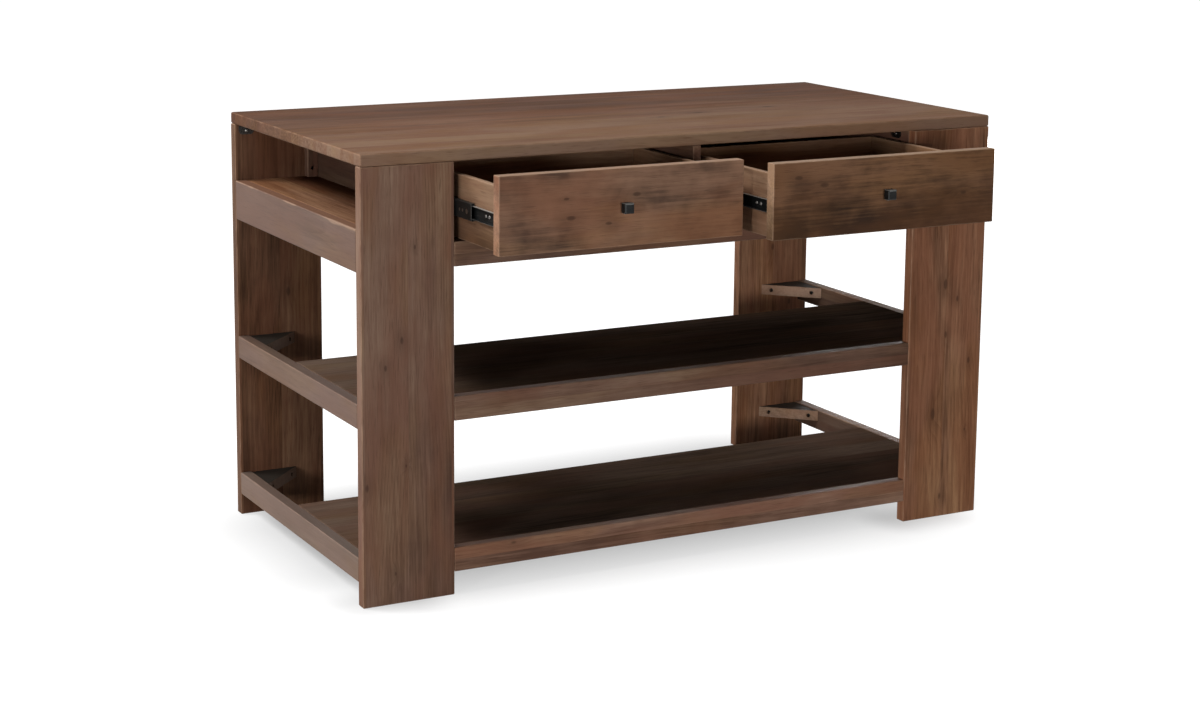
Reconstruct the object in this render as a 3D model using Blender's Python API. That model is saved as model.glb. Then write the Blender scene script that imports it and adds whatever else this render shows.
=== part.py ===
"""Kitchen island with plank legs, two open shelves, end cubbies and two drawers on ball-bearing slides.

Metres, +Z up. +Y runs from the drawer side to the seating side at the back.
The origin lies on the floor, midway over the length and depth of the island with its drawers pulled out.
Pieces are laid out from the island's front face, with the drawers shut, and then pulled out on their slides.
"""
import math

import bmesh
import bpy
from mathutils import Matrix, Vector

# Clearances
SEAT_GAP = 0.0003  # between pieces that touch
BALL_CLEARANCE = 0.00035  # between a ball and the race that it rolls in
BALL_EMBED = 0.0004  # depth of a ball in the middle member's groove

# How far the drawers are pulled out
LEFT_DRAWER_OPEN = 0.200
RIGHT_DRAWER_OPEN = 0.280

# Top and legs
TOP_THICKNESS = 0.025
TOP_EDGE_RADIUS = 0.004
LEG_WIDTH = 0.200
LEG_THICKNESS = 0.025  # also of the shelf lips and the front rail, which lie between the legs
BOARD_EASE = 0.0015  # taken off the edges of the boards

# End rails and shelves
FLOOR_CLEARANCE = 0.048  # under the lower rails
END_RAIL_THICKNESS = 0.025
END_RAIL_HEIGHT = 0.050
UPPER_RAIL_HEIGHT = 0.086
BAY_HEIGHT = 0.265  # clear height over each shelf
SHELF_THICKNESS = 0.025
SHELF_LIP_HEIGHT = 0.050
SHELF_DEPTH = 0.426  # from the front face to the shelf's back edge
KNEE_SPACE_DEPTH = 0.291  # from the shelf's back edge to the back legs

# Drawer case and end cubbies
FRONT_RAIL_HEIGHT = 0.050
DRAWER_OPENING_WIDTH = 0.54675
DRAWER_OPENING_HEIGHT = 0.161
DIVIDER_THICKNESS = 0.0185
CASE_SIDE_THICKNESS = 0.0125
CASE_BACK_THICKNESS = 0.0125
CASE_PANEL_THICKNESS = 0.0125  # under the drawers
CUBBY_FLOOR_THICKNESS = 0.0125
CLEAT_WIDTH = 0.025
CLEAT_DEPTH = 0.020
CLEAT_HOLE_DIAMETER = 0.009
CLEAT_HOLE_DEPTH = 0.010
CLEAT_HOLE_INSET = 0.0205  # from the ends of a cleat

# Corner blocks at the back legs
CORNER_BLOCK_REACH = 0.108
CORNER_BLOCK_THICKNESS = 0.0255
CORNER_BLOCK_DROP = 0.002  # below the rail's top
CORNER_HOLE_DIAMETER = 0.010
CORNER_HOLE_DEPTH = 0.012
CORNER_HOLE_INSET = 0.025  # from the ends of the slanted face

# Bent tabs that hold the top
BRACKET_WIDTH = 0.035
BRACKET_DROP = 0.023
BRACKET_REACH = 0.020
BRACKET_SHEET = 0.002
BRACKET_CORNER_RADIUS = 0.009
BRACKET_HOLE_DIAMETER = 0.005
BRACKET_HOLE_INSET = 0.009  # from the end of each tab
BRACKET_INSET = 0.009  # from the outer edge of a back leg
BRACKET_SETBACK = 0.0285  # behind a front leg

# Drawers
DRAWER_FRONT_THICKNESS = 0.025
DRAWER_FRONT_GAP = 0.001  # beside a drawer front
DRAWER_FRONT_REVEAL = 0.003  # above and below a drawer front
DRAWER_SIDE_THICKNESS = 0.012
DRAWER_BACK_THICKNESS = 0.012
DRAWER_SIDE_BOTTOM_GAP = 0.005
DRAWER_SIDE_TOP_GAP = 0.027
DRAWER_REAR_CLEARANCE = 0.005
DRAWER_BOTTOM_THICKNESS = 0.006
DRAWER_BOTTOM_RAISE = 0.010
DRAWER_GROOVE_DEPTH = 0.005

# Square knobs
KNOB_SIZE = 0.0205
KNOB_PROJECTION = 0.022
KNOB_NECK_SIZE = 0.012
KNOB_NECK_LENGTH = 0.004
KNOB_CHAMFER = 0.0025

# Three-member drawer slides
SLIDE_LENGTH = 0.350
SLIDE_THICKNESS = 0.0127
SLIDE_SHEET = 0.0012
SLIDE_WEB_GAP = 0.0012  # between the webs of two members
SLIDE_SETBACK = 0.003  # behind the drawer front
SLIDE_REAR_MARGIN = 0.043  # drawer behind the end of its slides
SLIDE_CENTRE_RAISE = 0.064  # above the lower edge of a drawer side
SLIDE_STOP_LENGTH = 0.010
SLIDE_LIP_TURN = math.radians(10)
DRAWER_MEMBER_HEIGHT = 0.026
INNER_BALL_DIAMETER = 0.00335
OUTER_BALL_DIAMETER = 0.0042
BALLS_PER_ROW = 4
SLIDE_HOLE_DIAMETER = 0.0045
SLIDE_HOLE_INSET = 0.035  # from the ends of a member
SLIDE_HOLES = 3

# Facets
BEND_STEPS = 4
LIP_STEPS = 8
HOLE_SIDES = 16
BALL_SIDES = 8
BALL_RINGS = 4

# Colours as seen, 0 to 255, with roughness and metallic value
FINISHES = {
    "top_wood": ((124, 94, 79), 0.5, 0.0),
    "frame_wood": ((105, 80, 68), 0.55, 0.0),
    "shelf_wood": ((84, 62, 52), 0.55, 0.0),
    "drawer_wood": ((101, 76, 60), 0.5, 0.0),
    "box_wood": ((146, 112, 88), 0.6, 0.0),
    "black_knob": ((24, 24, 25), 0.4, 0.6),
    "black_slide": ((20, 20, 21), 0.35, 0.7),
    "grey_steel": ((128, 126, 124), 0.4, 1.0),
}

# Heights, from the floor up
LOWER_RAIL_TOP = FLOOR_CLEARANCE + END_RAIL_HEIGHT
MIDDLE_RAIL_TOP = LOWER_RAIL_TOP + BAY_HEIGHT + END_RAIL_HEIGHT
CASE_BOTTOM = MIDDLE_RAIL_TOP + BAY_HEIGHT
CUBBY_FLOOR = CASE_BOTTOM + UPPER_RAIL_HEIGHT
DRAWER_SILL = CASE_BOTTOM + FRONT_RAIL_HEIGHT
TOP_UNDERSIDE = DRAWER_SILL + DRAWER_OPENING_HEIGHT
BODY_HEIGHT = TOP_UNDERSIDE + TOP_THICKNESS

# Widths, from the middle out
CASE_HALF = DIVIDER_THICKNESS / 2 + DRAWER_OPENING_WIDTH
CUBBY_WALL = CASE_HALF + CASE_SIDE_THICKNESS
BODY_HALF = CASE_HALF + LEG_WIDTH
RAIL_INNER = BODY_HALF - END_RAIL_THICKNESS

# Depths, from the front face back
BACK_LEG_FACE = SHELF_DEPTH + KNEE_SPACE_DEPTH
BODY_DEPTH = BACK_LEG_FACE + LEG_THICKNESS
DRAWER_BOX_DEPTH = SLIDE_SETBACK + SLIDE_LENGTH + SLIDE_REAR_MARGIN
DRAWER_END = DRAWER_FRONT_THICKNESS + DRAWER_BOX_DEPTH
CASE_INNER_DEPTH = DRAWER_END + DRAWER_REAR_CLEARANCE
DRAWERS_REACH = max(LEFT_DRAWER_OPEN, RIGHT_DRAWER_OPEN) + SEAT_GAP + KNOB_PROJECTION
FRONT_FACE = (DRAWERS_REACH - BODY_DEPTH) / 2

# Drawer boxes
DRAWER_FRONT_BOTTOM = DRAWER_SILL + DRAWER_FRONT_REVEAL
DRAWER_FRONT_TOP = TOP_UNDERSIDE - DRAWER_FRONT_REVEAL
DRAWER_SIDE_BOTTOM = DRAWER_SILL + DRAWER_SIDE_BOTTOM_GAP
DRAWER_SIDE_TOP = TOP_UNDERSIDE - DRAWER_SIDE_TOP_GAP
DRAWER_PANEL_BOTTOM = DRAWER_SIDE_BOTTOM + DRAWER_BOTTOM_RAISE
SLIDE_SPACE = SLIDE_THICKNESS + 2 * SEAT_GAP
DRAWER_BOX_HALF = DRAWER_OPENING_WIDTH / 2 - SLIDE_SPACE
DRAWER_INNER_HALF = DRAWER_BOX_HALF - DRAWER_SIDE_THICKNESS

# Slide members: half heights, and distances from the face that the slide is fixed to
SLIDE_START = DRAWER_FRONT_THICKNESS + SLIDE_SETBACK
SLIDE_MIDDLE = SLIDE_START + SLIDE_LENGTH / 2
SLIDE_END = SLIDE_START + SLIDE_LENGTH
SLIDE_HEIGHT = DRAWER_SIDE_BOTTOM + SLIDE_CENTRE_RAISE
DRAWER_MEMBER_HALF = DRAWER_MEMBER_HEIGHT / 2
MIDDLE_INNER_HALF = DRAWER_MEMBER_HALF + BALL_CLEARANCE + INNER_BALL_DIAMETER - BALL_EMBED
MIDDLE_OUTER_HALF = MIDDLE_INNER_HALF + SLIDE_SHEET
CABINET_INNER_HALF = MIDDLE_OUTER_HALF - BALL_EMBED + OUTER_BALL_DIAMETER + BALL_CLEARANCE
CABINET_OUTER_HALF = CABINET_INNER_HALF + SLIDE_SHEET
MIDDLE_WEB_START = SLIDE_SHEET + SLIDE_WEB_GAP
MIDDLE_WEB_END = MIDDLE_WEB_START + SLIDE_SHEET
MIDDLE_FLANGE_END = SLIDE_THICKNESS - SLIDE_SHEET - SLIDE_WEB_GAP
DRAWER_FLANGE_END = MIDDLE_WEB_END + SLIDE_WEB_GAP
BALL_LINE = SLIDE_THICKNESS / 2


def linear(channel):
    """Linear value of a colour channel given as 0 to 255."""
    share = channel / 255
    return share / 12.92 if share <= 0.04045 else ((share + 0.055) / 1.055) ** 2.4


def finish_material(name, finish):
    colour, roughness, metallic = FINISHES[finish]
    material = bpy.data.materials.new(f"{name}_{finish}")
    material.use_nodes = True
    shader = material.node_tree.nodes["Principled BSDF"]
    shader.inputs["Base Color"].default_value = (*map(linear, colour), 1.0)
    shader.inputs["Roughness"].default_value = roughness
    shader.inputs["Metallic"].default_value = metallic
    return material


def clear_scene():
    for obj in list(bpy.data.objects):
        bpy.data.objects.remove(obj, do_unlink=True)


def carrier(name, home, travel=0.0, parent=None):
    """Empty that pieces ride on: home is its place with the drawers shut, travel how far it is pulled out."""
    empty = bpy.data.objects.new(name, None)
    bpy.context.scene.collection.objects.link(empty)
    empty["home"] = home
    empty.parent = parent
    empty.location = Vector(home) - Vector((0, travel, 0))
    return empty


def add_piece(name, mesh, centre, on):
    """Object with its mesh about centre, riding on a carrier."""
    obj = bpy.data.objects.new(name, mesh)
    bpy.context.scene.collection.objects.link(obj)
    obj.parent = on
    obj.location = Vector(centre) - Vector(on["home"])
    return obj


def finished(obj, finish):
    obj.data.materials.append(finish_material(obj.name, finish))
    return obj


def as_cutter(obj):
    obj.hide_render = True
    obj.display_type = "WIRE"
    return obj


def mesh_of(name, bm):
    bmesh.ops.recalc_face_normals(bm, faces=bm.faces)
    mesh = bpy.data.meshes.new(name)
    bm.to_mesh(mesh)
    bm.free()
    return mesh


def extrude_outline(bm, outline, axis, length):
    """Extrudes a flat outline along an axis, half of the length to each side."""
    corners = {
        "X": lambda u, v: (-length / 2, u, v),
        "Y": lambda u, v: (u, -length / 2, v),
        "Z": lambda u, v: (u, v, -length / 2),
    }[axis]
    face = bm.faces.new([bm.verts.new(corners(u, v)) for u, v in outline])
    grown = bmesh.ops.extrude_face_region(bm, geom=[face])["geom"]
    along = Vector([length * (axis == other) for other in "XYZ"])
    far = [item for item in grown if isinstance(item, bmesh.types.BMVert)]
    bmesh.ops.translate(bm, verts=far, vec=along)


def ease_edges(obj, width, segments):
    bevel = obj.modifiers.new("eased_edges", "BEVEL")
    bevel.width = width
    bevel.segments = segments
    bevel.limit_method = "ANGLE"
    bevel.angle_limit = math.radians(40)


def shade_round(obj):
    obj.data.shade_smooth()
    obj.data.set_sharp_from_angle(angle=math.radians(40))


def combine(obj, other, operation):
    boolean = obj.modifiers.new(other.name, "BOOLEAN")
    boolean.operation = operation
    boolean.object = other
    boolean.solver = "EXACT"


def box_mesh(name, size):
    """Board drawn as its end section and extruded along its grain, which is its longest side."""
    grain = max(range(3), key=lambda i: size[i])
    across = [size[i] / 2 for i in range(3) if i != grain]
    section = [(-across[0], -across[1]), (across[0], -across[1]), (across[0], across[1]), (-across[0], across[1])]
    bm = bmesh.new()
    extrude_outline(bm, section, "XYZ"[grain], size[grain])
    return mesh_of(name, bm)


def board(name, x, y, z, finish, on, ease=BOARD_EASE, segments=1):
    """Board between pairs of x, y and z values, with its edges eased unless ease is 0."""
    spans = [sorted(span) for span in (x, y, z)]
    size = [high - low for low, high in spans]
    centre = [(low + high) / 2 for low, high in spans]
    obj = add_piece(name, box_mesh(name, size), centre, on)
    if ease:
        ease_edges(obj, ease, segments)
    return finished(obj, finish)


def mirrored(sign, low, high):
    return sign * low, sign * high


def drill(name, places, axis, diameter, depth, on):
    """Cutter of round holes, each about its place and along the axis."""
    turn = Vector((0, 0, 1)).rotation_difference(Vector(axis)).to_matrix().to_4x4()
    bm = bmesh.new()
    for place in places:
        bmesh.ops.create_cone(
            bm,
            cap_ends=True,
            segments=HOLE_SIDES,
            radius1=diameter / 2,
            radius2=diameter / 2,
            depth=depth,
            matrix=Matrix.Translation(place) @ turn,
        )
    return as_cutter(add_piece(name, mesh_of(name, bm), (0, 0, 0), on))


def arc(centre, radius, start, end, steps):
    angles = [start + (end - start) * i / steps for i in range(steps + 1)]
    return [Vector((centre[0] + radius * math.cos(a), centre[1] + radius * math.sin(a))) for a in angles]


def bent_sheet(path, sheet):
    """Outline of a sheet bent along a path that runs through the middle of it."""
    one_side, other_side = [], []
    for i, point in enumerate(path):
        into = point - path[i - 1] if i else path[1] - point
        out = path[i + 1] - point if i + 1 < len(path) else into
        into, out = into.normalized(), out.normalized()
        square = Vector((-into.y, into.x))
        normal = (square + Vector((-out.y, out.x))).normalized()
        offset = normal * sheet / 2 / normal.dot(square)
        one_side.append(point + offset)
        other_side.append(point - offset)
    return one_side + other_side[::-1]


def channel_path(upper):
    """Path of a channel that is the same above and below, from its upper half's points."""
    return upper + [Vector((p.x, -p.y)) for p in reversed(upper)]


def build_legs(island):
    for side, sign in (("left", -1), ("right", 1)):
        for row, depth in (("front", 0), ("back", BACK_LEG_FACE)):
            board(
                f"leg_{row}_{side}",
                mirrored(sign, CASE_HALF, BODY_HALF),
                (depth, depth + LEG_THICKNESS),
                (0, TOP_UNDERSIDE - SEAT_GAP),
                "frame_wood",
                island,
            )


def build_end_rails(island):
    heights = {
        "lower": (FLOOR_CLEARANCE, LOWER_RAIL_TOP),
        "middle": (MIDDLE_RAIL_TOP - END_RAIL_HEIGHT, MIDDLE_RAIL_TOP),
        "upper": (CASE_BOTTOM, CUBBY_FLOOR),
    }
    for side, sign in (("left", -1), ("right", 1)):
        for level, height in heights.items():
            board(
                f"end_rail_{level}_{side}",
                mirrored(sign, RAIL_INNER, BODY_HALF),
                (LEG_THICKNESS + SEAT_GAP, BACK_LEG_FACE - SEAT_GAP),
                height,
                "frame_wood",
                island,
            )


def build_shelves(island):
    rail_clear = RAIL_INNER - SEAT_GAP
    leg_clear = CASE_HALF - SEAT_GAP
    for level, top in (("lower", LOWER_RAIL_TOP), ("middle", MIDDLE_RAIL_TOP)):
        board(
            f"shelf_{level}",
            (-rail_clear, rail_clear),
            (LEG_THICKNESS + SEAT_GAP, SHELF_DEPTH),
            (top - SHELF_THICKNESS, top),
            "shelf_wood",
            island,
        )
        board(
            f"shelf_lip_{level}",
            (-leg_clear, leg_clear),
            (0, LEG_THICKNESS),
            (top - SHELF_LIP_HEIGHT, top),
            "frame_wood",
            island,
        )


def build_corner_blocks(island):
    """Three-cornered blocks between a back leg and an end rail, with screw holes sunk in the slanted face."""
    slant = CORNER_BLOCK_REACH * math.sqrt(2)
    for side, sign in (("left", -1), ("right", 1)):
        corner = Vector((sign * (RAIL_INNER - SEAT_GAP), BACK_LEG_FACE - SEAT_GAP, 0))
        inward = Vector((-sign, -1, 0)).normalized()
        slant_middle = inward * slant / 2
        along = Vector((sign, -1, 0)).normalized() * (slant / 2 - CORNER_HOLE_INSET)
        for level, rail_top in (("lower", LOWER_RAIL_TOP), ("middle", MIDDLE_RAIL_TOP)):
            name = f"corner_block_{level}_{side}"
            height = rail_top - CORNER_BLOCK_DROP - CORNER_BLOCK_THICKNESS / 2
            bm = bmesh.new()
            outline = [(0, 0), (-sign * CORNER_BLOCK_REACH, 0), (0, -CORNER_BLOCK_REACH)]
            extrude_outline(bm, outline, "Z", CORNER_BLOCK_THICKNESS)
            place = corner + Vector((0, 0, height))
            block = add_piece(name, mesh_of(name, bm), place, island)
            ease_edges(block, BOARD_EASE / 2, 1)
            mouths = [place + slant_middle + along, place + slant_middle - along]
            holes = drill(name + "_holes", mouths, inward, CORNER_HOLE_DIAMETER, 2 * CORNER_HOLE_DEPTH, island)
            combine(block, holes, "DIFFERENCE")
            finished(block, "frame_wood")


def build_case(island):
    """Drawer case between the legs, and the cubbies that its sides close off at the ends."""
    between_legs = (LEG_THICKNESS + SEAT_GAP, BACK_LEG_FACE - SEAT_GAP)
    case_height = (CASE_BOTTOM, TOP_UNDERSIDE - SEAT_GAP)
    inside = CASE_HALF - SEAT_GAP
    board("front_rail", (-inside, inside), (0, LEG_THICKNESS), (CASE_BOTTOM, DRAWER_SILL), "frame_wood", island)
    board(
        "case_back",
        (-inside, inside),
        (CASE_INNER_DEPTH, CASE_INNER_DEPTH + CASE_BACK_THICKNESS),
        case_height,
        "shelf_wood",
        island,
    )
    board(
        "case_panel",
        (-inside, inside),
        (LEG_THICKNESS + SEAT_GAP, CASE_INNER_DEPTH - SEAT_GAP),
        (DRAWER_SILL - CASE_PANEL_THICKNESS, DRAWER_SILL),
        "shelf_wood",
        island,
    )
    board(
        "case_divider",
        (-DIVIDER_THICKNESS / 2, DIVIDER_THICKNESS / 2),
        (0, CASE_INNER_DEPTH - SEAT_GAP),
        (DRAWER_SILL + SEAT_GAP, TOP_UNDERSIDE - SEAT_GAP),
        "frame_wood",
        island,
    )
    for side, sign in (("left", -1), ("right", 1)):
        board(
            f"case_side_{side}",
            mirrored(sign, CASE_HALF, CUBBY_WALL),
            between_legs,
            case_height,
            "frame_wood",
            island,
        )
        board(
            f"cubby_floor_{side}",
            mirrored(sign, CUBBY_WALL + SEAT_GAP, RAIL_INNER - SEAT_GAP),
            between_legs,
            (CUBBY_FLOOR - CUBBY_FLOOR_THICKNESS, CUBBY_FLOOR),
            "frame_wood",
            island,
        )
        build_cleat(f"cubby_cleat_{side}", sign, island)


def build_cleat(name, sign, island):
    """Upright cleat in the corner of a cubby and a back leg, with screw holes sunk in its front."""
    near = CUBBY_WALL + SEAT_GAP
    back = BACK_LEG_FACE - SEAT_GAP
    front = back - CLEAT_DEPTH
    foot, head = CUBBY_FLOOR + SEAT_GAP, TOP_UNDERSIDE - SEAT_GAP
    cleat = board(name, mirrored(sign, near, near + CLEAT_WIDTH), (front, back), (foot, head), "frame_wood", island)
    middle = sign * (near + CLEAT_WIDTH / 2)
    mouths = [(middle, front, foot + CLEAT_HOLE_INSET), (middle, front, head - CLEAT_HOLE_INSET)]
    holes = drill(f"{name}_holes", mouths, (0, 1, 0), CLEAT_HOLE_DIAMETER, 2 * CLEAT_HOLE_DEPTH, island)
    combine(cleat, holes, "DIFFERENCE")


def bracket_mesh(name):
    """Bent tab: one leg down a wall (at x 0), the other out under the top, with rounded ends."""
    half = BRACKET_SHEET / 2
    bend = 2 * BRACKET_SHEET
    path = [Vector((half, -BRACKET_DROP))]
    path += arc((half + bend, -half - bend), bend, math.pi, math.pi / 2, BEND_STEPS)
    path.append(Vector((BRACKET_REACH, -half)))
    bm = bmesh.new()
    extrude_outline(bm, bent_sheet(path, BRACKET_SHEET), "Y", BRACKET_WIDTH)
    ends = []
    for edge in bm.edges:
        low, high = edge.verts
        at_drop = max(low.co.z, high.co.z) < -BRACKET_DROP + half
        at_reach = min(low.co.x, high.co.x) > BRACKET_REACH - half
        if abs(low.co.y - high.co.y) < half and (at_drop or at_reach):
            ends.append(edge)
    bmesh.ops.bevel(bm, geom=ends, offset=BRACKET_CORNER_RADIUS, segments=BEND_STEPS, profile=0.5, affect="EDGES")
    return mesh_of(name, bm)


def build_brackets(island):
    height = TOP_UNDERSIDE - SEAT_GAP
    places = {}
    for side, sign in (("left", -1), ("right", 1)):
        leg_x = sign * (BODY_HALF - BRACKET_INSET - BRACKET_WIDTH / 2)
        places[f"top_bracket_back_{side}"] = ((leg_x, BACK_LEG_FACE - SEAT_GAP, height), (0, -1, 0))
        wall_y = LEG_THICKNESS + BRACKET_SETBACK + BRACKET_WIDTH / 2
        places[f"top_bracket_front_{side}"] = ((sign * (CASE_HALF - SEAT_GAP), wall_y, height), (-sign, 0, 0))
    for name, (place, outward) in places.items():
        bracket = add_piece(name, bracket_mesh(name), place, island)
        bracket.rotation_euler.z = math.atan2(outward[1], outward[0])
        down_hole = Vector(place) - Vector((0, 0, BRACKET_DROP - BRACKET_HOLE_INSET))
        out_hole = Vector(place) + Vector(outward) * (BRACKET_REACH - BRACKET_HOLE_INSET)
        through = 4 * BRACKET_SHEET
        for part, middle, axis in (("wall", down_hole, outward), ("top", out_hole, (0, 0, 1))):
            hole = drill(f"{name}_{part}_hole", [middle], axis, BRACKET_HOLE_DIAMETER, through, island)
            combine(bracket, hole, "DIFFERENCE")
        shade_round(bracket)
        finished(bracket, "grey_steel")


def knob_mesh(name):
    """Square knob grown out of its neck: flared to the head, drawn out and closed with a chamfered face."""
    head_start = KNOB_NECK_LENGTH
    face_start = KNOB_PROJECTION - KNOB_CHAMFER
    bm = bmesh.new()
    half = KNOB_NECK_SIZE / 2
    square = [(-half, -half), (half, -half), (half, half), (-half, half)]
    face = bm.faces.new([bm.verts.new((x, 0, z)) for x, z in square])
    steps = (
        (KNOB_NECK_SIZE, head_start),
        (KNOB_SIZE - 2 * KNOB_CHAMFER, head_start),
        (KNOB_SIZE, head_start + KNOB_CHAMFER),
        (KNOB_SIZE, face_start),
        (KNOB_SIZE - 2 * KNOB_CHAMFER, KNOB_PROJECTION),
    )
    for step, (size, reach) in enumerate(steps):
        grown = bmesh.ops.extrude_face_region(bm, geom=[face])["geom"]
        if step:
            bmesh.ops.delete(bm, geom=[face], context="FACES_ONLY")
        face = next(item for item in grown if isinstance(item, bmesh.types.BMFace))
        for vert in face.verts:
            vert.co = Vector((math.copysign(size / 2, vert.co.x), -reach, math.copysign(size / 2, vert.co.z)))
    return mesh_of(name, bm)


def build_drawer(name, middle, on):
    """Drawer box about the middle of its opening, with its bottom let into grooves all round."""
    box_y = (DRAWER_FRONT_THICKNESS + SEAT_GAP, DRAWER_END)
    box_z = (DRAWER_SIDE_BOTTOM, DRAWER_SIDE_TOP)
    front_half = DRAWER_OPENING_WIDTH / 2 - DRAWER_FRONT_GAP
    back_half = DRAWER_INNER_HALF - SEAT_GAP
    front = board(
        f"{name}_front",
        (middle - front_half, middle + front_half),
        (0, DRAWER_FRONT_THICKNESS),
        (DRAWER_FRONT_BOTTOM, DRAWER_FRONT_TOP),
        "drawer_wood",
        on,
        segments=2,
    )
    back = board(
        f"{name}_back",
        (middle - back_half, middle + back_half),
        (DRAWER_END - DRAWER_BACK_THICKNESS, DRAWER_END),
        box_z,
        "box_wood",
        on,
        ease=BOARD_EASE / 2,
    )
    sides = [
        board(
            f"{name}_side_{side}",
            (middle + sign * DRAWER_INNER_HALF, middle + sign * DRAWER_BOX_HALF),
            box_y,
            box_z,
            "box_wood",
            on,
            ease=BOARD_EASE / 2,
        )
        for side, sign in (("left", -1), ("right", 1))
    ]
    groove = [
        (middle - DRAWER_INNER_HALF - DRAWER_GROOVE_DEPTH, middle + DRAWER_INNER_HALF + DRAWER_GROOVE_DEPTH),
        (DRAWER_FRONT_THICKNESS - DRAWER_GROOVE_DEPTH, DRAWER_END - DRAWER_BACK_THICKNESS + DRAWER_GROOVE_DEPTH),
        (DRAWER_PANEL_BOTTOM - SEAT_GAP, DRAWER_PANEL_BOTTOM + DRAWER_BOTTOM_THICKNESS + SEAT_GAP),
    ]
    size = [high - low for low, high in groove]
    centre = [(low + high) / 2 for low, high in groove]
    cutter = as_cutter(add_piece(f"{name}_groove", box_mesh(f"{name}_groove", size), centre, on))
    for piece in (front, back, *sides):
        combine(piece, cutter, "DIFFERENCE")
    panel = [(low + SEAT_GAP, high - SEAT_GAP) for low, high in groove]
    board(f"{name}_bottom", *panel, "box_wood", on, ease=0)
    knob_height = (DRAWER_FRONT_BOTTOM + DRAWER_FRONT_TOP) / 2
    knob = add_piece(f"{name}_knob", knob_mesh(f"{name}_knob"), (middle, -SEAT_GAP, knob_height), on)
    finished(knob, "black_knob")


def member_mesh(name, path, toward):
    """Slide member of its full length, from the path of its sheet, turned toward the drawer."""
    outline = [(toward * p.x, p.y) for p in bent_sheet(path, SLIDE_SHEET)]
    bm = bmesh.new()
    extrude_outline(bm, outline, "Y", SLIDE_LENGTH)
    return mesh_of(name, bm)


def plain_channel(web, flange_end, outer_half):
    """Path of a channel with straight flanges, from the middle of its web."""
    bend = 1.5 * SLIDE_SHEET
    height = outer_half - SLIDE_SHEET / 2
    toward = math.copysign(1, flange_end - web)
    corner = (web + toward * bend, height - bend)
    turn = (math.pi / 2, math.pi) if toward > 0 else (math.pi / 2, 0)
    return channel_path([Vector((flange_end, height))] + arc(corner, bend, *turn, BEND_STEPS))


def rolled_channel():
    """Path of the cabinet member: its flanges roll round the outer balls into a lip."""
    bend = 1.5 * SLIDE_SHEET
    web = SLIDE_SHEET / 2
    height = CABINET_OUTER_HALF - SLIDE_SHEET / 2
    ball_height = MIDDLE_OUTER_HALF - BALL_EMBED + OUTER_BALL_DIAMETER / 2
    roll = height - ball_height
    lip = arc((BALL_LINE, ball_height), roll, -SLIDE_LIP_TURN, math.pi / 2, LIP_STEPS)
    return channel_path(lip + arc((web + bend, height - bend), bend, math.pi / 2, math.pi, BEND_STEPS))


def ball_rows(name, toward, place, on):
    """Balls between the races: the outer rows stay in the cabinet member, the inner rows on the drawer member."""
    outer_height = MIDDLE_OUTER_HALF - BALL_EMBED + OUTER_BALL_DIAMETER / 2
    inner_height = MIDDLE_INNER_HALF + BALL_EMBED - INNER_BALL_DIAMETER / 2
    stretch = SLIDE_LENGTH / 2 - SLIDE_STOP_LENGTH
    rows = (
        (OUTER_BALL_DIAMETER, outer_height, 0.0),
        (INNER_BALL_DIAMETER, inner_height, -stretch),
    )
    bm = bmesh.new()
    for diameter, height, start in rows:
        for sign in (-1, 1):
            for i in range(BALLS_PER_ROW):
                along = start + stretch * (i + 0.5) / BALLS_PER_ROW
                spot = Matrix.Translation((toward * BALL_LINE, along, sign * height))
                bmesh.ops.create_uvsphere(
                    bm, u_segments=BALL_SIDES, v_segments=BALL_RINGS, radius=diameter / 2, matrix=spot
                )
    return as_cutter(add_piece(name, mesh_of(name, bm), place, on))


def front_stops(name, toward, place, on):
    """Stops at the front of the middle member, between its flanges and the drawer member."""
    low, high = DRAWER_MEMBER_HALF + BALL_CLEARANCE, MIDDLE_OUTER_HALF - SLIDE_SHEET / 2
    near, far = MIDDLE_WEB_END - SLIDE_SHEET / 2, MIDDLE_FLANGE_END - SLIDE_SHEET / 2
    bm = bmesh.new()
    for sign in (-1, 1):
        outline = [(toward * t, sign * z) for t, z in ((near, low), (far, low), (far, high), (near, high))]
        extrude_outline(bm, outline, "Y", SLIDE_STOP_LENGTH)
    forward = Vector((0, (SLIDE_LENGTH - SLIDE_STOP_LENGTH) / 2, 0))
    return as_cutter(add_piece(name, mesh_of(name, bm), Vector(place) - forward, on))


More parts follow.
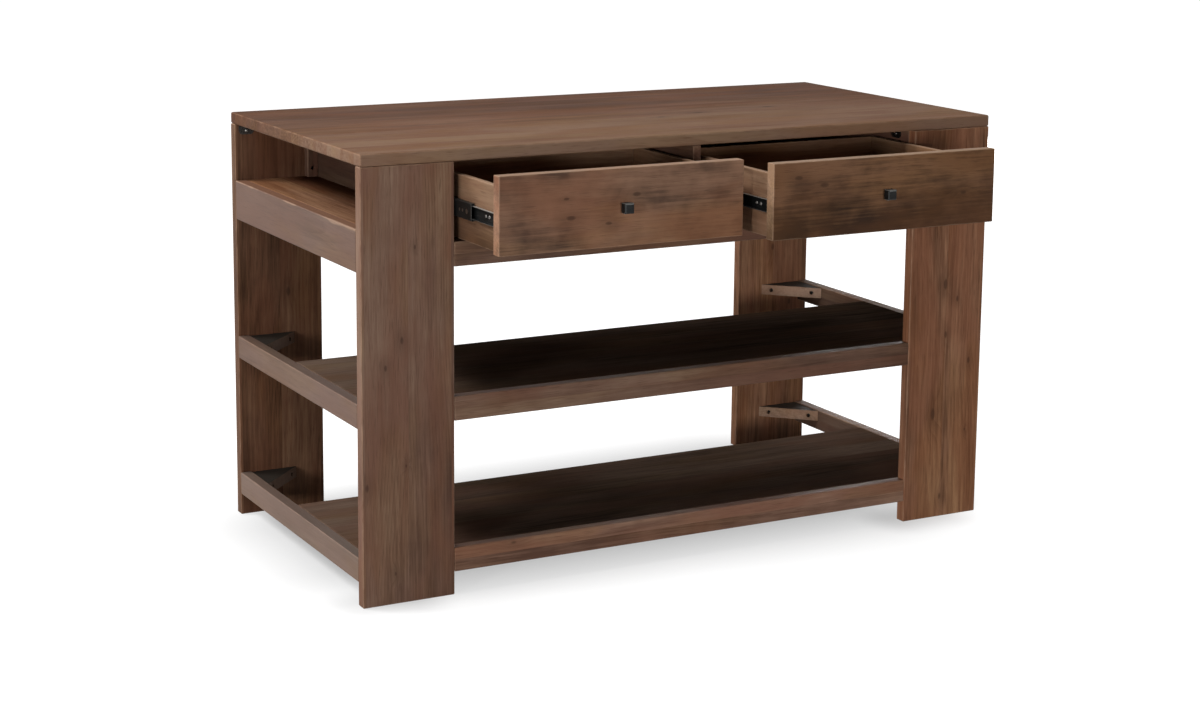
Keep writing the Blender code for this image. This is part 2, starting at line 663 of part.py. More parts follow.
def build_slide(name, face, toward, island, middle_carrier, drawer_carrier):
    """Slide on the face at x, which opens toward the drawer: cabinet, middle and drawer member."""
    place = (face + toward * SEAT_GAP, SLIDE_MIDDLE, SLIDE_HEIGHT)
    reach = SLIDE_LENGTH - 2 * SLIDE_HOLE_INSET
    lengths = [SLIDE_START + SLIDE_HOLE_INSET + reach * i / (SLIDE_HOLES - 1) for i in range(SLIDE_HOLES)]
    cabinet_web = SLIDE_SHEET / 2
    drawer_web = SLIDE_THICKNESS - SLIDE_SHEET / 2
    middle_web = MIDDLE_WEB_START + SLIDE_SHEET / 2
    drilled = (
        ("cabinet", rolled_channel(), cabinet_web, island),
        ("drawer", plain_channel(drawer_web, DRAWER_FLANGE_END, DRAWER_MEMBER_HALF), drawer_web, drawer_carrier),
    )
    for part, path, web, on in drilled:
        label = f"{name}_{part}"
        member = add_piece(label, member_mesh(label, path, toward), place, on)
        spots = [(place[0] + toward * web, along, SLIDE_HEIGHT) for along in lengths]
        holes = drill(f"{label}_holes", spots, (1, 0, 0), SLIDE_HOLE_DIAMETER, 2 * SLIDE_SHEET, on)
        combine(member, holes, "DIFFERENCE")
        shade_round(member)
        finished(member, "black_slide")
    label = f"{name}_middle"
    path = plain_channel(middle_web, MIDDLE_FLANGE_END, MIDDLE_OUTER_HALF)
    middle = add_piece(label, member_mesh(label, path, toward), place, middle_carrier)
    combine(middle, front_stops(f"{label}_stops", toward, place, middle_carrier), "UNION")
    combine(middle, ball_rows(f"{label}_balls", toward, place, middle_carrier), "UNION")
    shade_round(middle)
    finished(middle, "black_slide")


def build_drawers(island):
    for side, sign, travel in (("left", -1, LEFT_DRAWER_OPEN), ("right", 1, RIGHT_DRAWER_OPEN)):
        inner_face = sign * DIVIDER_THICKNESS / 2
        outer_face = sign * CASE_HALF
        middle = (inner_face + outer_face) / 2
        home = (middle, SLIDE_START, SLIDE_HEIGHT)
        drawer_carrier = carrier(f"drawer_{side}_travel", home, travel, island)
        middle_carrier = carrier(f"slide_{side}_travel", home, travel / 2, island)
        build_drawer(f"drawer_{side}", middle, drawer_carrier)
        for which, face, toward in (("outer", outer_face, -sign), ("inner", inner_face, sign)):
            build_slide(f"slide_{side}_{which}", face, toward, island, middle_carrier, drawer_carrier)


def main():
    clear_scene()
    island = carrier("island", (0, 0, 0))
    island.location.y = FRONT_FACE
    board(
        "top_board",
        (-BODY_HALF, BODY_HALF),
        (0, BODY_DEPTH),
        (TOP_UNDERSIDE, BODY_HEIGHT),
        "top_wood",
        island,
        ease=TOP_EDGE_RADIUS,
        segments=4,
    )
    build_legs(island)
    build_end_rails(island)
    build_shelves(island)
    build_corner_blocks(island)
    build_case(island)
    build_brackets(island)
    build_drawers(island)


main()
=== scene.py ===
"""Dark wooden kitchen island: finishes, screws and rivets on its frame, with floor, light and camera."""
import math

import bmesh
import bpy
from mathutils import Matrix, Vector


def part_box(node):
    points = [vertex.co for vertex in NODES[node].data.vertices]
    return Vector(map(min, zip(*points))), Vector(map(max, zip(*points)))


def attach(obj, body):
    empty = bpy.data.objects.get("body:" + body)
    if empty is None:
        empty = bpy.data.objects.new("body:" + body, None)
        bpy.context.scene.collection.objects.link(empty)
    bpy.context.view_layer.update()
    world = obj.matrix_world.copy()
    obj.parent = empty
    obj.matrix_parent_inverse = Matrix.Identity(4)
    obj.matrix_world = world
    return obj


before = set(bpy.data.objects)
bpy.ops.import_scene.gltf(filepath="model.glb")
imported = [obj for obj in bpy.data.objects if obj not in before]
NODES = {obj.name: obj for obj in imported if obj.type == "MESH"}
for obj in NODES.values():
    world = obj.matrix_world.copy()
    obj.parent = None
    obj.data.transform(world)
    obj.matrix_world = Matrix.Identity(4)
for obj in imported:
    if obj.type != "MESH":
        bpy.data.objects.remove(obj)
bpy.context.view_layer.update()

# Camera, as fitted to the photograph
PHOTO_WIDTH = 1200
PHOTO_HEIGHT = 711
FOCAL_PIXELS = 2292.6
AXIS_PIXEL = (583.2, 225.8)  # where the lens axis meets the picture
CAMERA_PLACE = (-2.4280, -4.2792, 1.5364)
CAMERA_YAW = math.radians(28.0244)
CAMERA_PITCH = math.radians(9.8371)  # downward
CAMERA_ROLL = math.radians(0.4716)
SENSOR_WIDTH = 36.0

# How strong each part of the wood's figure is, unless a look has its own
FIGURE = {
    "streak": 0.46,
    "fine": 0.62,
    "cloud": 0.62,
    "shade": 0.30,
    "curl": 0.0,
    "ring": 0.12,
    "red_share": 0.60,
    "tone_of_staves": 0.20,
}


def look(dark, middle, light, red, stave=0.0, gloss=0.08, roughness=0.62, edge_tone=(1, 1, 1), **figure):
    """Wood look: colours as seen, 0 to 255, width of its staves, gloss, gain of its edges and figure."""
    return {
        "dark": dark,
        "middle": middle,
        "light": light,
        "red": red,
        "stave": stave,
        "gloss": gloss,
        "roughness": roughness,
        "edge_tone": edge_tone,
        "tones": {**FIGURE, **figure},
    }


WOODS = {
    "top": look(
        (82, 56, 43),
        (110, 80, 62),
        (134, 105, 84),
        (116, 75, 55),
        stave=0.090,
        gloss=0.02,
        tone_of_staves=0.26,
        edge_tone=(0.98, 1.06, 1.16),
        red_share=0.40,
        fine=0.76,
    ),
    "frame": look(
        (68, 47, 37),
        (106, 80, 66),
        (131, 106, 89),
        (106, 71, 56),
        stave=0.120,
        gloss=0.12,
        fine=0.52,
        curl=0.30,
    ),
    "rail": look((84, 65, 56), (108, 87, 77), (128, 106, 94), (110, 84, 72), gloss=0.12, streak=0.34),
    "grey_rail": look((84, 68, 59), (108, 91, 81), (128, 111, 100), (110, 88, 77), gloss=0.12, streak=0.34),
    "warm_frame": look(
        (58, 39, 27),
        (102, 72, 54),
        (132, 99, 75),
        (105, 66, 47),
        stave=0.120,
        streak=0.66,
        red_share=0.50,
        fine=0.80,
        curl=0.24,
    ),
    "cubby": look((62, 41, 29), (102, 72, 54), (130, 97, 74), (105, 66, 46), stave=0.120, gloss=0.0),
    "drawer": look(
        (62, 47, 39),
        (106, 80, 64),
        (127, 97, 78),
        (116, 78, 58),
        cloud=1.05,
        streak=0.20,
        curl=0.92,
    ),
    # Darker than the left drawer front, partly as painted shade
    "dark_drawer": look(
        (40, 28, 21),
        (82, 59, 44),
        (116, 84, 62),
        (96, 64, 43),
        cloud=1.05,
        edge_tone=(1.0, 1.26, 1.5),
        streak=0.18,
        curl=1.02,
        fine=0.80,
    ),
    # Darker and greyer than the frame, partly as painted shade
    "shelf": look(
        (54, 43, 36),
        (86, 70, 60),
        (106, 88, 76),
        (90, 66, 54),
        stave=0.095,
        gloss=0.0,
        roughness=0.66,
        streak=0.34,
        tone_of_staves=0.08,
    ),
    "box": look((80, 59, 45), (116, 90, 70), (146, 119, 96), (120, 85, 63), roughness=0.66),
    "block": look((112, 86, 70), (150, 122, 103), (176, 146, 124), (150, 114, 92), roughness=0.66),
}

# Other colours as seen, 0 to 255
# Tan of worn edges, also a painted highlight on edges and on the tops of drawer fronts and boxes
WORN_AND_HIGHLIT_TAN = (168, 138, 114)
KNOT_BROWN = (38, 26, 20)
# Painted shade: brown laid on the tops of the corner blocks and of the lower end rails on the left
PAINTED_SHADE_BROWN = (26, 24, 21)
WARM_BROWN = (112, 78, 58)
BLACKENED = (14, 15, 15)

YELLOWING = (1.04, 1.02, 0.86, 1.0)  # gain of patches of yellower wood

# Plated steels: colour, colour where the plating is dull, and roughness
STEELS = {
    "bracket_steel": ((78, 75, 72), (54, 51, 48), 0.45),
    "screw_steel": ((142, 138, 134), (98, 95, 92), 0.34),
    "dark_screw_steel": ((78, 75, 72), (48, 46, 44), 0.42),
}

# Noises: stretch along each axis, which is a board's own axis in wood, then detail and roughness
NOISES = {
    "bend": ((1.3, 4.0, 4.0), 1.0, 0.5),
    "streak": ((1.8, 38.0, 38.0), 4.0, 0.6),
    "fine": ((6.0, 150.0, 150.0), 3.0, 0.65),
    "cloud": ((2.6, 9.0, 9.0), 3.0, 0.55),
    "shade": ((0.9, 3.0, 3.0), 1.0, 0.5),
    "curl": ((15.0, 17.0, 17.0), 3.0, 0.5),
    "pores": ((26.0, 700.0, 700.0), 1.0, 0.5),
    "rubbing": ((30.0, 30.0, 30.0), 3.0, 0.5),
    "waves": ((11.0, 11.0, 11.0), 2.0, 0.5),
    "scratch": ((900.0, 18.0, 900.0), 2.0, 0.6),
    "grain": ((2200.0, 2200.0, 2200.0), 1.0, 0.5),
    "smear": ((60.0, 60.0, 60.0), 3.0, 0.5),
    "plating": ((350.0, 350.0, 350.0), 3.0, 0.6),
    "marks": ((2500.0, 2500.0, 2500.0), 2.0, 0.5),
    "paper": ((40.0, 40.0, 40.0), 3.0, 0.5),
}


def paint(colour, tint=1.0):
    """Linear colour with alpha from one given as 0 to 255, made lighter by the tint."""
    shares = [channel / 255 for channel in colour]
    levels = [s / 12.92 if s <= 0.04045 else ((s + 0.055) / 1.055) ** 2.4 for s in shares]
    return (*(tint * level for level in levels), 1.0)


class Graph:
    """Short ways to add and link the shader nodes of a material or a world."""

    def __init__(self, owner):
        owner.use_nodes = True
        self.owner = owner
        self.tree = owner.node_tree

    def feed(self, socket, value):
        """Links an output to a socket, or sets the socket to a plain value."""
        if isinstance(value, bpy.types.NodeSocket):
            self.tree.links.new(value, socket)
        else:
            socket.default_value = value

    def add(self, kind, inputs=None, **settings):
        """New node with its settings and its inputs."""
        node = self.tree.nodes.new(kind)
        for key, value in settings.items():
            setattr(node, key, value)
        for socket, value in (inputs or {}).items():
            self.feed(node.inputs[socket], value)
        return node

    def math(self, operation, first, second=0.0, third=0.0):
        return self.add("ShaderNodeMath", {0: first, 1: second, 2: third}, operation=operation).outputs[0]

    def vector(self, operation, first, second=(0, 0, 0)):
        node = self.add("ShaderNodeVectorMath", {0: first, 1: second}, operation=operation)
        return node.outputs["Value" if operation == "LENGTH" else "Vector"]

    def split(self, vector):
        return list(self.add("ShaderNodeSeparateXYZ", {0: vector}).outputs)

    def join(self, x, y, z):
        return self.add("ShaderNodeCombineXYZ", {0: x, 1: y, 2: z}).outputs[0]

    def noise(self, name, place, output="Fac"):
        """One of the noises at a place."""
        stretch, detail, roughness = NOISES[name]
        scaled = self.vector("MULTIPLY", place, stretch)
        inputs = {"Vector": scaled, "Scale": 1.0, "Detail": detail, "Roughness": roughness}
        return self.add("ShaderNodeTexNoise", inputs).outputs[output]

    def centred(self, value):
        """Value from 0 to 1 moved to lie about 0."""
        return self.math("SUBTRACT", value, 0.5)

    def vary(self, base, value, amount):
        """Base moved up and down by a value from 0 to 1."""
        return self.math("MULTIPLY_ADD", self.centred(value), amount, base)

    def spread(self, value, low, high, new_low=0.0, new_high=1.0):
        """Value taken smoothly from one range to another, and kept within it."""
        names = ("Value", "From Min", "From Max", "To Min", "To Max")
        inputs = dict(zip(names, (value, low, high, new_low, new_high)))
        return self.add("ShaderNodeMapRange", inputs, interpolation_type="SMOOTHSTEP").outputs[0]

    def mix(self, share, first, second, blend="MIX"):
        inputs = {0: share, 6: first, 7: second}
        return self.add("ShaderNodeMix", inputs, data_type="RGBA", blend_type=blend).outputs[2]

    def ramp(self, value, stops, tint):
        """Colour of a value, from places with their colours."""
        node = self.add("ShaderNodeValToRGB", {0: value})
        points = node.color_ramp.elements
        while len(points) < len(stops):
            points.new(0.5)
        for point, (place, colour) in zip(points, stops):
            point.position = place
            point.color = paint(colour, tint)
        return node.outputs["Color"]

    def edge_distance(self, local, half):
        """How far a place on a box's surface is from the nearest edge."""
        a, b, c = self.split(self.vector("SUBTRACT", half, self.vector("ABSOLUTE", local)))
        smaller = self.math("MINIMUM", a, b)
        larger = self.math("MINIMUM", self.math("MAXIMUM", a, b), c)
        return self.math("MAXIMUM", smaller, larger)

    def surface(self, colour, roughness, height, bump, depth, **constants):
        """Feeds the shader its colour, roughness and relief, and constants named with _ for a space."""
        shader = self.tree.nodes["Principled BSDF"].inputs
        relief = self.add("ShaderNodeBump", {"Strength": bump, "Distance": depth, "Height": height})
        self.feed(shader["Base Color"], colour)
        self.feed(shader["Roughness"], roughness)
        self.feed(shader["Normal"], relief.outputs["Normal"])
        for name, value in constants.items():
            shader[name.replace("_", " ")].default_value = value


class Wood(Graph):
    """Wood sawn through the growth rings of a log, built up in steps on the axes of one board."""

    LOG_STEP = (3.7, 1.9, 0.8)  # place in the log for each unit of the seed
    TURNED = (0.6, 0.95)  # shares of a normal between which a face comes to count as turned that way

    def __init__(self, node, name, seed, tint):
        super().__init__(bpy.data.materials.new(f"wood_{node}"))
        self.look = WOODS[name]
        self.tones = self.look["tones"]
        self.seed = seed
        self.tint = tint
        low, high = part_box(node)
        self.half = (high - low) / 2
        self.order = sorted(range(3), key=lambda axis: -self.half[axis])
        coordinates = self.add("ShaderNodeTexCoord").outputs
        self.local = self.vector("SUBTRACT", coordinates["Object"], (low + high) / 2)
        self.sides = self.split(self.local)
        self.along, self.across, thick = (self.sides[axis] for axis in self.order)
        self.normal = self.split(coordinates["Normal"])
        self.board = self.join(self.along, self.across, thick)
        self.place = self.vector("ADD", self.board, [step * seed for step in self.LOG_STEP])
        self.seam = None

    def start_tone(self, fade):
        """Tone of 0.5 in the middle of the board, changing along and across it."""
        slopes = [amount / self.half[axis] for amount, axis in zip(fade, self.order)]
        tone = self.math("MULTIPLY_ADD", self.along, slopes[0], 0.5)
        self.tone = self.math("MULTIPLY_ADD", self.across, slopes[1], tone)

    def glue_staves(self):
        """Takes each stave from a place of its own in the log, and finds the seams between them."""
        wave_step, unevenness, lot_step, seam_width = 2.1, 0.22, 3.1, 0.0006
        log_shift, ring_shift = (7.0, 2.0, 2.0), (0.0, 0.22, 0.05)
        stave = self.look["stave"]
        strip = self.math("MULTIPLY", self.across, 1 / stave)
        wave = self.math("SINE", self.math("MULTIPLY", strip, wave_step))
        uneven = self.math("MULTIPLY_ADD", wave, unevenness, strip)
        number = self.math("FLOOR", uneven)
        lot = self.math("ADD", number, lot_step * self.seed)
        chance = self.add("ShaderNodeTexWhiteNoise", {"W": lot}, noise_dimensions="1D").outputs
        shift = self.vector("SUBTRACT", chance["Color"], (0.5, 0.5, 0.5))
        self.place = self.vector("ADD", self.place, self.vector("MULTIPLY", shift, log_shift))
        self.board = self.vector("ADD", self.board, self.vector("MULTIPLY", shift, ring_shift))
        self.tone = self.vary(self.tone, chance["Value"], self.tones["tone_of_staves"])
        share = self.math("SUBTRACT", uneven, number)
        nearest = self.math("MINIMUM", share, self.math("SUBTRACT", 1.0, share))
        self.seam = self.spread(nearest, 0.0, seam_width / stave, 1.0, 0.0)

    def draw_figure(self):
        """Streaks, fibres, clouds and curls that sway along the board, and broad shades."""
        sway_width = 0.05
        self.bend = self.centred(self.noise("bend", self.place))
        sway = self.math("MULTIPLY", self.bend, sway_width)
        flow = self.vector("ADD", self.place, self.join(0.0, sway, sway))
        self.streak = self.noise("streak", flow)
        self.fine = self.noise("fine", flow)
        self.cloud = self.split(self.noise("cloud", flow, "Color"))
        shade = self.noise("shade", self.place)
        parts = {"streak": self.streak, "fine": self.fine, "cloud": self.cloud[0], "shade": shade}
        if self.tones["curl"]:
            parts["curl"] = self.noise("curl", flow)
        for name, part in parts.items():
            self.tone = self.vary(self.tone, part, self.tones[name])

    def knot_distance(self, along, across, radius):
        """Distance from a knot in its radii. Knots have ragged rims and are longer along the board."""
        share_along, streak_rag, cloud_rag = 0.45, 1.8, 1.5
        offset = self.join(
            self.math("MULTIPLY", self.math("SUBTRACT", self.along, along), share_along / radius),
            self.math("MULTIPLY", self.math("SUBTRACT", self.across, across), 1 / radius),
            0.0,
        )
        distance = self.vary(self.vector("LENGTH", offset), self.streak, streak_rag)
        return self.vary(distance, self.cloud[1], cloud_rag)

    def grow_rings(self, knots):
        """Growth rings round a pith that lies below the board and runs slightly askew."""
        # The pith has another depth and another place to the side in each board
        depth = 0.07 + 0.05 * math.sin(5.3 * self.seed)
        beside = 0.04 * math.cos(3.1 * self.seed)
        askew, bending, rings_per_metre, sharpness = 0.02, 0.07, 150.0, 2.5
        knot_reach, knot_push = (0.5, 6.0), 0.010
        cross_section = self.vector("MULTIPLY", self.board, (0.0, 1.0, 1.0))
        from_pith = self.vector("ADD", cross_section, (0.0, beside, depth))
        radius = self.math("MULTIPLY_ADD", self.along, askew, self.vector("LENGTH", from_pith))
        radius = self.math("MULTIPLY_ADD", self.bend, bending, radius)
        self.knots = [self.knot_distance(*knot) for knot in knots]
        for distance in self.knots:
            near = self.spread(distance, *knot_reach, 1.0, 0.0)
            radius = self.math("MULTIPLY_ADD", near, knot_push, radius)
        turns = self.math("MULTIPLY", radius, rings_per_metre)
        self.ring = self.math("POWER", self.math("FRACT", turns), sharpness)
        shown = self.math("MULTIPLY", self.ring, self.spread(self.cloud[1], 0.35, 0.65))
        self.tone = self.math("MULTIPLY_ADD", shown, -self.tones["ring"], self.tone)

    def colour_figure(self):
        """Colours of the tones, with patches of redder and of yellower wood."""
        yellow_share = 0.6
        stops = [(0.18, self.look["dark"]), (0.48, self.look["middle"]), (0.80, self.look["light"])]
        colour = self.ramp(self.tone, stops, self.tint)
        reddish = self.math("MULTIPLY", self.spread(self.cloud[2], 0.40, 0.64), self.tones["red_share"])
        colour = self.mix(reddish, colour, paint(self.look["red"], self.tint))
        yellowish = self.spread(self.cloud[1], 0.46, 0.62, 0.0, yellow_share)
        self.colour = self.mix(yellowish, colour, YELLOWING, "MULTIPLY")

    def darken_pores(self):
        """Dark pores, and dark seams where there are staves."""
        pore_share, seam_share = 0.42, 0.30
        self.pores = self.spread(self.noise("pores", self.place), 0.58, 0.72)
        dimmed = self.math("MULTIPLY", self.pores, pore_share)
        if self.seam is not None:
            dimmed = self.math("MAXIMUM", dimmed, self.math("MULTIPLY", self.seam, seam_share))
        self.colour = self.mix(dimmed, self.colour, paint(self.look["dark"], self.tint))

    def tone_narrow_faces(self, end_light, edge_light, dark_side):
        """Gain and tone of end grain and long edges, and of a darker side. The long edges' gain is painted
        light where above 1 and painted shade where below, and the darker side is painted shade.
        """
        painted_shade_gain = 0.58
        end_face, edge_face = (self.math("ABSOLUTE", self.normal[axis]) for axis in self.order[:2])
        gain = self.spread(end_face, *self.TURNED, 1.0, 1.0 + end_light)
        gain = self.math("ADD", gain, self.spread(edge_face, *self.TURNED, 0.0, edge_light))
        if dark_side:
            facing = self.math("MULTIPLY", self.normal[0], dark_side)
            gain = self.math("MULTIPLY", gain, self.spread(facing, *self.TURNED, 1.0, painted_shade_gain))
        colour = self.mix(1.0, self.colour, gain, "MULTIPLY")
        narrow = self.spread(self.math("MAXIMUM", end_face, edge_face), *self.TURNED)
        self.colour = self.mix(narrow, colour, (*self.look["edge_tone"], 1.0), "MULTIPLY")

    def colour_upper_faces(self, share, colour):
        """Share of another colour on faces that look up: painted shade with the dark brown,
        a painted highlight with the tan, and the upper end rails' own warm brown.
        """
        upward = self.spread(self.normal[2], *self.TURNED, 0.0, share)
        self.colour = self.mix(upward, self.colour, paint(colour))

    def darken_knots(self):
        """Dark core of each knot, and a fainter halo."""
        core_share, halo_share = 0.62, 0.22
        for distance in self.knots:
            core = self.math("MULTIPLY", self.spread(distance, 0.5, 1.6, 1.0, 0.0), core_share)
            halo = self.math("MULTIPLY", self.spread(distance, 0.8, 5.5, 1.0, 0.0), halo_share)
            self.colour = self.mix(self.math("MAXIMUM", core, halo), self.colour, paint(KNOT_BROWN))

    def rub_and_highlight_edges(self, wear, worn_side):
        """Edges worn down to lighter wood, partly a painted highlight, and an upper edge worn in waves,
        also partly a painted highlight.
        """
        rub_depth, wave_depth, worn_and_highlit_share = 0.005, 0.016, 0.42
        edge = self.edge_distance(self.local, self.half)
        edge = self.vary(edge, self.noise("rubbing", self.place), rub_depth)
        rubbed_and_highlit = self.math("MULTIPLY", self.spread(edge, 0.0004, 0.0026, 1.0, 0.0), wear)
        if worn_side:
            outer = self.math("MULTIPLY_ADD", self.sides[0], -worn_side, self.half.x)
            below = self.math("SUBTRACT", self.half.z, self.sides[2])
            edge = self.math("MAXIMUM", outer, below)
            edge = self.vary(edge, self.noise("waves", self.place), wave_depth)
            rubbed_and_highlit = self.math("MAXIMUM", rubbed_and_highlit, self.spread(edge, 0.0002, 0.0034, worn_and_highlit_share, 0.0))
        self.colour = self.mix(rubbed_and_highlit, self.colour, paint(WORN_AND_HIGHLIT_TAN))

    def finish_surface(self):
        """Roughness and relief that follow the fibres, the pores and the rings."""
        fine_roughness, cloud_roughness, pore_depth, ring_height = 0.22, 0.20, 0.6, 0.25
        bump, bump_depth = 0.25, 0.0005
        rough = self.vary(self.look["roughness"], self.fine, fine_roughness)
        rough = self.vary(rough, self.cloud[1], cloud_roughness)
        height = self.math("MULTIPLY_ADD", self.pores, -pore_depth, self.fine)
        height = self.math("MULTIPLY_ADD", self.ring, ring_height, height)
        self.surface(self.colour, rough, height, bump, bump_depth, Specular_IOR_Level=self.look["gloss"])


def wood(
    node,
    name,
    seed,
    knots=(),
    tint=1.0,
    wear=0.28,
    fade=(0.0, 0.0),
    upper=None,
    end_light=0.20,
    edge_light=0.0,
    worn_side=0,
    dark_side=0,
):
    """Wood of one board.

    Options: knots, tint (gain of all its colours, partly painted light and shade), wear (how far its
    edges are worn lighter, partly a painted highlight), fade (how much lighter it gets along and across,
    partly painted light and shade), upper (share and colour for faces that look up: painted shade, a
    painted highlight, or the upper end rails' own warm brown), end_light and edge_light (how much lighter
    its end grain and its long edges are, painted light and shade on the long edges), worn_side (side of x
    whose upper edge is worn in waves, partly a painted highlight) and dark_side (side of x that is darker,
    a painted shade).
    """
    board = Wood(node, name, seed, tint)
    board.start_tone(fade)
    if board.look["stave"]:
        board.glue_staves()
    board.draw_figure()
    board.grow_rings(knots)
    board.colour_figure()
    board.darken_pores()
    board.tone_narrow_faces(end_light, edge_light, dark_side)
    if upper:
        board.colour_upper_faces(*upper)
    board.darken_knots()
    board.rub_and_highlight_edges(wear, worn_side)
    board.finish_surface()
    return board.owner


def coated_metal(node, worn, roughness, wear, painted_top_highlight):
    """Blackened metal with fine scratches, edges worn lighter that also stand for a painted highlight, and
    a painted highlight on the upper part of its topmost faces.
    """
    smear_gain, smear_reach, scratch_share, raised_share = 1.8, 0.0012, 0.35, 0.3
    smear_roughness, scratch_roughness, scratch_height = 0.30, 0.15, 0.4
    bump, bump_depth = 0.12, 0.0002
    low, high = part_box(node)
    half = (high - low) / 2
    g = Graph(bpy.data.materials.new(f"metal_{node}"))
    coordinates = g.add("ShaderNodeTexCoord").outputs
    place = coordinates["Object"]
    local = g.vector("SUBTRACT", place, (low + high) / 2)
    scratch, grain, smear = (g.noise(name, place) for name in ("scratch", "grain", "smear"))
    edge = g.vary(g.edge_distance(local, half), smear, smear_reach)
    rubbed_and_highlit = g.math("MULTIPLY", g.spread(edge, 0.0001, 0.0011, 1.0, 0.0), wear)
    rubbed_and_highlit = g.math("MAXIMUM", rubbed_and_highlit, g.spread(scratch, 0.66, 0.80, 0.0, scratch_share))
    # Painted highlight on faces that look up, on the upper part of the member only
    upward = g.spread(g.split(coordinates["Normal"])[2], 0.4, 0.7, 0.0, painted_top_highlight)
    raised = g.spread(g.split(local)[2], 0.0, raised_share * half.z)
    rubbed_and_highlit = g.math("MAXIMUM", rubbed_and_highlit, g.math("MULTIPLY", upward, raised))
    base = g.mix(g.spread(smear, 0.3, 0.7), paint(BLACKENED), paint(BLACKENED, smear_gain))
    colour = g.mix(rubbed_and_highlit, base, paint(worn))
    rough = g.vary(g.vary(roughness, smear, smear_roughness), scratch, scratch_roughness)
    height = g.math("MULTIPLY_ADD", scratch, scratch_height, grain)
    g.surface(colour, rough, height, bump, bump_depth, Metallic=0.3, Specular_IOR_Level=0.2)
    return g.owner


def plated_steel(name):
    """One of the plated steels, with cloudy plating and turning marks."""
    plating_roughness, bump, bump_depth = 0.35, 0.10, 0.0002
    bright, dull, roughness = STEELS[name]
    g = Graph(bpy.data.materials.new(name))
    place = g.add("ShaderNodeTexCoord").outputs["Object"]
    plating, marks = (g.noise(kind, place) for kind in ("plating", "marks"))
    colour = g.mix(g.spread(plating, 0.35, 0.70), paint(bright), paint(dull))
    rough = g.vary(roughness, plating, plating_roughness)
    g.surface(colour, rough, marks, bump, bump_depth, Metallic=1.0)
    return g.owner


# Knots, mostly as in the photograph: place along and across the board from its middle, and radius
KNOTS = {
    "top_board": [(0.182, -0.067, 0.005), (0.384, -0.035, 0.004), (0.068, -0.102, 0.004)],
    "leg_front_left": [
        (0.095, -0.014, 0.0040),
        (0.042, -0.049, 0.0030),
        (0.280, 0.015, 0.0022),
        (-0.161, -0.006, 0.0026),
        (-0.197, -0.090, 0.0045),
        (-0.381, -0.030, 0.0030),
    ],
    "leg_front_right": [
        (0.094, -0.004, 0.0050),
        (0.058, 0.030, 0.0028),
        (-0.022, 0.001, 0.0040),
        (-0.087, 0.067, 0.0042),
        (-0.203, -0.026, 0.0066),
        (-0.248, 0.063, 0.0024),
        (-0.397, -0.001, 0.0044),
    ],
    "leg_back_right": [(-0.083, 0.050, 0.004), (0.061, -0.002, 0.005)],
    "leg_back_left": [(0.060, 0.020, 0.005)],
    "drawer_left_front": [
        (-0.128, 0.025, 0.0024),
        (-0.118, -0.014, 0.0045),
        (0.027, 0.024, 0.004),
        (-0.035, -0.029, 0.004),
    ],
    "drawer_right_front": [(-0.214, 0.046, 0.004), (-0.152, 0.027, 0.005), (0.194, -0.010, 0.004)],
    "shelf_lip_lower": [(-0.423, 0.018, 0.005)],
    "case_back": [(0.2, 0.01, 0.005)],
}

# Boards that don't have the look of their kind
OWN_LOOKS = {
    "top_board": "top",
    "drawer_left_front": "drawer",
    "drawer_right_front": "dark_drawer",
    "leg_front_right": "warm_frame",
    "leg_back_left": "warm_frame",
    "leg_back_right": "warm_frame",
    "case_back": "shelf",
    "case_panel": "shelf",
    "cubby_floor_left": "cubby",
    "cubby_floor_right": "cubby",
    "end_rail_upper_left": "rail",
    "end_rail_middle_left": "rail",
    "end_rail_lower_left": "grey_rail",
    "shelf_lower": "shelf",
    "shelf_middle": "shelf",
}

# How far along the log a board is taken, where that gives it a figure more like the photograph's
LOTS = {
    "top_board": 1.48,
    "leg_front_left": 1.48,
    "leg_back_left": 2.59,
    "leg_back_right": 2.96,
    "shelf_lip_middle": 2.59,
    "drawer_left_front": 1.11,
    "drawer_right_front": 3.70,
}

